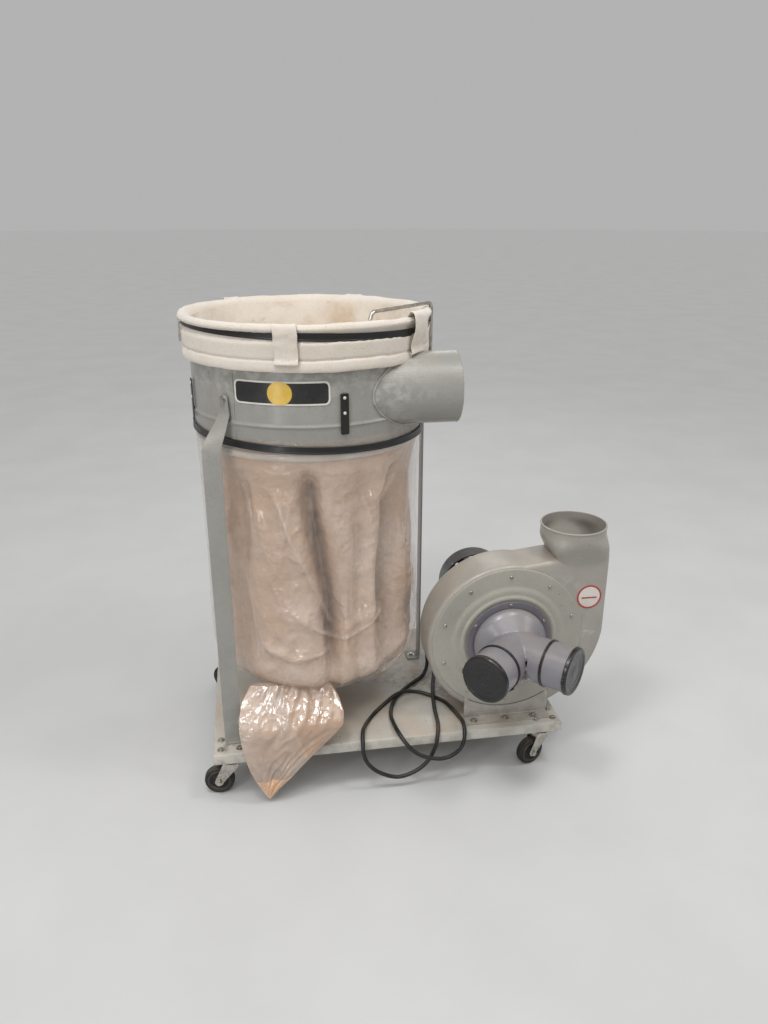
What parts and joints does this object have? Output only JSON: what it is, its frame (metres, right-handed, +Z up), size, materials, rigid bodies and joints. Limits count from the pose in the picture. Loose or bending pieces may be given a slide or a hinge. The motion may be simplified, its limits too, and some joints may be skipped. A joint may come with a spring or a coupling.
{
  "type": "dust collector",
  "caption": "Single-stage dust collector on a wheeled base: fan blower with twin capped inlets, drum on legs, filter bag above, clear bag below.",
  "frame": {"origin": "centre of the machine's footprint box, without its cord, on the floor under the wheels", "axes": "+X towards the blower's side, -Y the front with the blower's inlet ports, +Z up"},
  "size_m": [0.9442, 0.665, 1.0795],
  "materials": {
    "grey_paint": "hammered grey paint, semi-gloss",
    "base_paint": "light warm grey paint, satin",
    "blower_paint": "beige-grey hammered paint, semi-gloss",
    "wye_plastic": "moulded grey plastic with a violet cast",
    "wheel_black": "hard black rubber, satin",
    "zinc": "bright zinc plate",
    "steel": "plain turned steel",
    "motor_black": "black paint, satin",
    "cast_aluminium": "cast, matt",
    "lamination": "varnished steel laminations",
    "black_rubber": "matt black jacket",
    "felt": "needled filter felt, stained",
    "film": "clear film, coated inside with tan dust",
    "strap_black": "black, satin",
    "black_plastic": "black moulding, satin"
  },
  "bodies": {
    "frame": {"base_plate": "base_paint", "bearing_front": "steel", "bearing_rear": "steel", "belt_strap_front": "strap_black", "belt_strap_left": "strap_black", "belt_strap_rear": "strap_black", "belt_strap_right": "strap_black", "blower_bracket_front": "blower_paint", "blower_bracket_rear": "blower_paint", "cap_tether_left": "black_plastic", "cap_tether_right": "black_plastic", "caster_plate_front_left": "zinc", "caster_plate_front_right": "zinc", "caster_plate_rear_left": "zinc", "caster_plate_rear_right": "zinc", "collection_bag": "film", "cord_coil": "black_rubber", "cord_gland": "black_rubber", "cord_lead": "black_rubber", "cord_tail": "black_rubber", "fan_cowl": "black_plastic", "filter_bag": "felt", "front_cover": "blower_paint", "inlet_tube": "grey_paint", "inlet_wye": "wye_plastic", "leg_front_left": "grey_paint", "leg_rear_left": "grey_paint", "leg_right": "grey_paint", "lower_belt_clamp": "strap_black", "motor_front_bell": "cast_aluminium", "motor_rear_bell": "cast_aluminium", "motor_shell": "motor_black", "power_plug": "black_rubber", "rod_socket": "grey_paint", "separator_drum": "grey_paint", "stator_core": "lamination", "switch_box": "black_plastic", "upper_belt_clamp": "strap_black", "volute_housing": "blower_paint"},
    "fork_front_left": {"caster_fork_front_left": "zinc", "caster_axle_front_left": "steel"},
    "wheel_front_left": {"caster_wheel_front_left": "wheel_black"},
    "fork_front_right": {"caster_fork_front_right": "zinc", "caster_axle_front_right": "steel"},
    "wheel_front_right": {"caster_wheel_front_right": "wheel_black"},
    "fork_rear_left": {"caster_fork_rear_left": "zinc", "caster_axle_rear_left": "steel"},
    "wheel_rear_left": {"caster_wheel_rear_left": "wheel_black"},
    "fork_rear_right": {"caster_fork_rear_right": "zinc", "caster_axle_rear_right": "steel"},
    "wheel_rear_right": {"caster_wheel_rear_right": "wheel_black"},
    "rotor": {"impeller": "grey_paint", "rotor_shaft": "steel", "cooling_fan": "black_plastic"},
    "cap_left": {"port_cap_left": "black_plastic"},
    "cap_right": {"port_cap_right": "black_plastic"},
    "rocker": {"switch_rocker": "black_plastic"},
    "upper_latch": {"upper_belt_latch": "zinc"},
    "lower_latch": {"lower_belt_latch": "zinc"},
    "support_rod": {"bag_support_rod": "zinc"}
  },
  "joints": [
    {"name": "swivel_front_left", "type": "hinge", "parent": "frame", "child": "fork_front_left", "pos_m": [-0.40787, -0.14595, 0.0854], "axis": [0, 0, 1], "continuous": true},
    {"name": "wheel_spin_front_left", "type": "hinge", "parent": "fork_front_left", "child": "wheel_front_left", "pos_m": [-0.4378, -0.14386, 0.034], "axis": [-0.0698, -0.9976, 0], "continuous": true},
    {"name": "swivel_front_right", "type": "hinge", "parent": "frame", "child": "fork_front_right", "pos_m": [0.33013, -0.14595, 0.0854], "axis": [0, 0, 1], "continuous": true},
    {"name": "wheel_spin_front_right", "type": "hinge", "parent": "fork_front_right", "child": "wheel_front_right", "pos_m": [0.30194, -0.15621, 0.034], "axis": [0.342, -0.9397, 0], "continuous": true},
    {"name": "swivel_rear_left", "type": "hinge", "parent": "frame", "child": "fork_rear_left", "pos_m": [-0.40787, 0.27805, 0.0854], "axis": [0, 0, 1], "continuous": true},
    {"name": "wheel_spin_rear_left", "type": "hinge", "parent": "fork_rear_left", "child": "wheel_rear_left", "pos_m": [-0.43385, 0.29305, 0.034], "axis": [-0.5, -0.866, 0], "continuous": true},
    {"name": "swivel_rear_right", "type": "hinge", "parent": "frame", "child": "fork_rear_right", "pos_m": [0.33013, 0.27805, 0.0854], "axis": [0, 0, 1], "continuous": true},
    {"name": "wheel_spin_rear_right", "type": "hinge", "parent": "fork_rear_right", "child": "wheel_rear_right", "pos_m": [0.30079, 0.28428, 0.034], "axis": [-0.2079, -0.9781, 0], "continuous": true},
    {"name": "rotor_spin", "type": "hinge", "parent": "frame", "child": "rotor", "pos_m": [0.23813, -0.13245, 0.333], "axis": [0, 1, 0], "continuous": true},
    {"name": "cap_pull_left", "type": "slide", "parent": "frame", "child": "cap_left", "axis": [-0.7071, -0.7071, 0], "range_m": [0, 0.03]},
    {"name": "cap_pull_right", "type": "slide", "parent": "frame", "child": "cap_right", "axis": [0.7071, -0.7071, 0], "range_m": [0, 0.03]},
    {"name": "switch_rock", "type": "hinge", "parent": "frame", "child": "rocker", "pos_m": [0.30862, 0.06405, 0.42323], "axis": [0.788, 0, -0.6157], "range_deg": [-8, 8]},
    {"name": "upper_latch_swing", "type": "hinge", "parent": "frame", "child": "upper_latch", "pos_m": [-0.45313, 0.0196, 1.05365], "axis": [0.1735, -0.9848, -0.0064], "range_deg": [-110, 0]},
    {"name": "lower_latch_swing", "type": "hinge", "parent": "frame", "child": "lower_latch", "pos_m": [-0.41255, 0.1947, 0.83066], "axis": [-0.4997, -0.866, 0.0183], "range_deg": [-110, 0]},
    {"name": "support_rod_swing", "type": "hinge", "parent": "frame", "child": "support_rod", "pos_m": [0.08113, 0.04805, 0.8963], "axis": [0, 0, 1], "range_deg": [-95, 8]}
  ]
}
